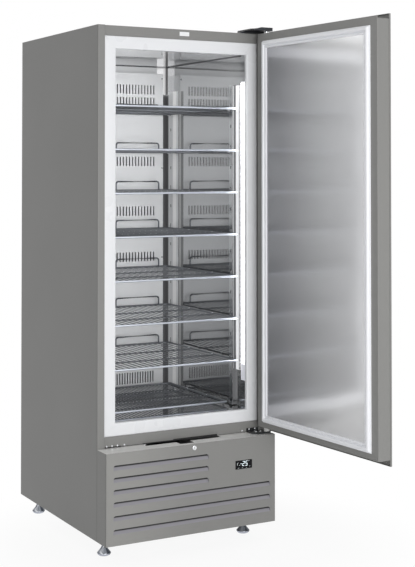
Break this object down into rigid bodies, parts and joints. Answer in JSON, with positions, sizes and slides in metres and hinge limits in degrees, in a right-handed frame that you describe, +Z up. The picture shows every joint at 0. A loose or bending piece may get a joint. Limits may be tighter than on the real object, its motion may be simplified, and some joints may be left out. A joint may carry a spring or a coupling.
{
  "type": "upright freezer",
  "caption": "Tall upright commercial freezer with a hinged solid door standing open, wire shelves in a steel-lined room, an air duct wall and a louvred lower panel.",
  "frame": {"origin": "on the floor, under the middle of the box round the freezer with its door open as pictured", "axes": "+Z up, +Y from the front of the cabinet to its back, +X to the right as seen from the front"},
  "size_m": [0.7487, 1.4656, 1.909],
  "materials": {
    "casing_steel": "satin",
    "zinc_steel": "satin",
    "polished_steel": "gloss",
    "foam": "matte",
    "frame_white": "gloss",
    "door_body": "satin",
    "gasket_rubber": "matte",
    "shelf_wire": "satin",
    "coil_aluminium": "satin",
    "fan_plastic": "satin",
    "motor_steel": "satin",
    "compressor_black": "gloss",
    "mount_rubber": "matte",
    "lamp_plastic": "satin",
    "lamp_lens": "satin",
    "hinge_black": "satin",
    "cover_plastic": "satin",
    "display_glass": "gloss",
    "bright_steel": "gloss",
    "chrome": "polished",
    "nylon": "satin"
  },
  "bodies": {
    "cabinet": {"air_duct_panel": "polished_steel", "back_panel": "zinc_steel", "base_tray": "zinc_steel", "bottom_hinge_bracket": "hinge_black", "bottom_hinge_pin": "bright_steel", "breaker_frame": "frame_white", "compressor": "compressor_black", "compressor_mounts": "mount_rubber", "condenser_coil": "coil_aluminium", "condenser_fan_motor": "motor_steel", "condenser_fan_shroud": "zinc_steel", "controller_housing": "cover_plastic", "display_window": "display_glass", "duct_top_cover": "polished_steel", "evaporating_tray": "zinc_steel", "evaporator_coil": "coil_aluminium", "evaporator_fan_motor": "motor_steel", "foam_insulation": "foam", "grille_panel": "casing_steel", "hinge_screws": "bright_steel", "inner_liner": "polished_steel", "led_diffuser": "lamp_lens", "led_housing": "lamp_plastic", "lower_rail": "casing_steel", "power_inlet": "cover_plastic", "rear_vent_cover": "zinc_steel", "shelf_clips": "polished_steel", "side_panel_left": "casing_steel", "side_panel_right": "casing_steel", "top_hinge_bracket": "hinge_black", "top_hinge_cover": "cover_plastic", "top_hinge_pin": "bright_steel", "top_panel": "casing_steel", "upright_front_left": "polished_steel", "upright_front_right": "polished_steel", "upright_rear_left": "polished_steel", "upright_rear_right": "polished_steel"},
    "door": {"door_core": "door_body", "door_skin": "casing_steel", "door_liner": "polished_steel", "door_gasket": "gasket_rubber", "hinge_bush_top": "nylon", "hinge_bush_bottom": "nylon"},
    "lock": {"lock_barrel": "chrome", "lock_cam": "bright_steel"},
    "condenser_fan": {"condenser_fan_blade": "fan_plastic"},
    "evaporator_fan": {"evaporator_fan_blade": "fan_plastic"},
    "rack": {"bottom_rack": "shelf_wire"},
    "shelf_1_body": {"shelf_1": "shelf_wire"},
    "shelf_2_body": {"shelf_2": "shelf_wire"},
    "shelf_3_body": {"shelf_3": "shelf_wire"},
    "shelf_4_body": {"shelf_4": "shelf_wire"},
    "shelf_5_body": {"shelf_5": "shelf_wire"},
    "shelf_6_body": {"shelf_6": "shelf_wire"},
    "shelf_7_body": {"shelf_7": "shelf_wire"},
    "foot_front_left_body": {"foot_front_left": "chrome"},
    "foot_front_right_body": {"foot_front_right": "chrome"},
    "foot_rear_left_body": {"foot_rear_left": "chrome"},
    "foot_rear_right_body": {"foot_rear_right": "chrome"}
  },
  "joints": [
    {"name": "door_hinge", "type": "hinge", "parent": "cabinet", "child": "door", "pos_m": [0.30252, -0.0552, 1.15], "axis": [0, 0, 1], "range_deg": [-93.6, 21.4]},
    {"name": "lock_turn", "type": "hinge", "parent": "cabinet", "child": "lock", "pos_m": [-0.02647, -0.0942, 0.3765], "axis": [0, 1, 0], "range_deg": [0, 90]},
    {"name": "condenser_fan_spin", "type": "hinge", "parent": "cabinet", "child": "condenser_fan", "pos_m": [-0.11947, 0.1198, 0.1965], "axis": [0, 1, 0], "continuous": true},
    {"name": "evaporator_fan_spin", "type": "hinge", "parent": "cabinet", "child": "evaporator_fan", "pos_m": [-0.02948, 0.6498, 0.95], "axis": [0, 1, 0], "continuous": true},
    {"name": "rack_lift", "type": "slide", "parent": "cabinet", "child": "rack", "axis": [0, 0, 1], "range_m": [0, 0.06]},
    {"name": "shelf_1_slide", "type": "slide", "parent": "cabinet", "child": "shelf_1_body", "axis": [0, -1, 0], "range_m": [0, 0.4]},
    {"name": "shelf_2_slide", "type": "slide", "parent": "cabinet", "child": "shelf_2_body", "axis": [0, -1, 0], "range_m": [0, 0.4]},
    {"name": "shelf_3_slide", "type": "slide", "parent": "cabinet", "child": "shelf_3_body", "axis": [0, -1, 0], "range_m": [0, 0.4]},
    {"name": "shelf_4_slide", "type": "slide", "parent": "cabinet", "child": "shelf_4_body", "axis": [0, -1, 0], "range_m": [0, 0.4]},
    {"name": "shelf_5_slide", "type": "slide", "parent": "cabinet", "child": "shelf_5_body", "axis": [0, -1, 0], "range_m": [0, 0.4]},
    {"name": "shelf_6_slide", "type": "slide", "parent": "cabinet", "child": "shelf_6_body", "axis": [0, -1, 0], "range_m": [0, 0.4]},
    {"name": "shelf_7_slide", "type": "slide", "parent": "cabinet", "child": "shelf_7_body", "axis": [0, -1, 0], "range_m": [0, 0.4]},
    {"name": "foot_front_left_turn", "type": "hinge", "parent": "cabinet", "child": "foot_front_left_body", "pos_m": [-0.31748, 0.0468, 0.04], "axis": [0, 0, 1], "continuous": true},
    {"name": "foot_front_right_turn", "type": "hinge", "parent": "cabinet", "child": "foot_front_right_body", "pos_m": [0.25853, 0.0468, 0.04], "axis": [0, 0, 1], "continuous": true},
    {"name": "foot_rear_left_turn", "type": "hinge", "parent": "cabinet", "child": "foot_rear_left_body", "pos_m": [-0.31748, 0.6808, 0.04], "axis": [0, 0, 1], "continuous": true},
    {"name": "foot_rear_right_turn", "type": "hinge", "parent": "cabinet", "child": "foot_rear_right_body", "pos_m": [0.25853, 0.6808, 0.04], "axis": [0, 0, 1], "continuous": true}
  ]
}
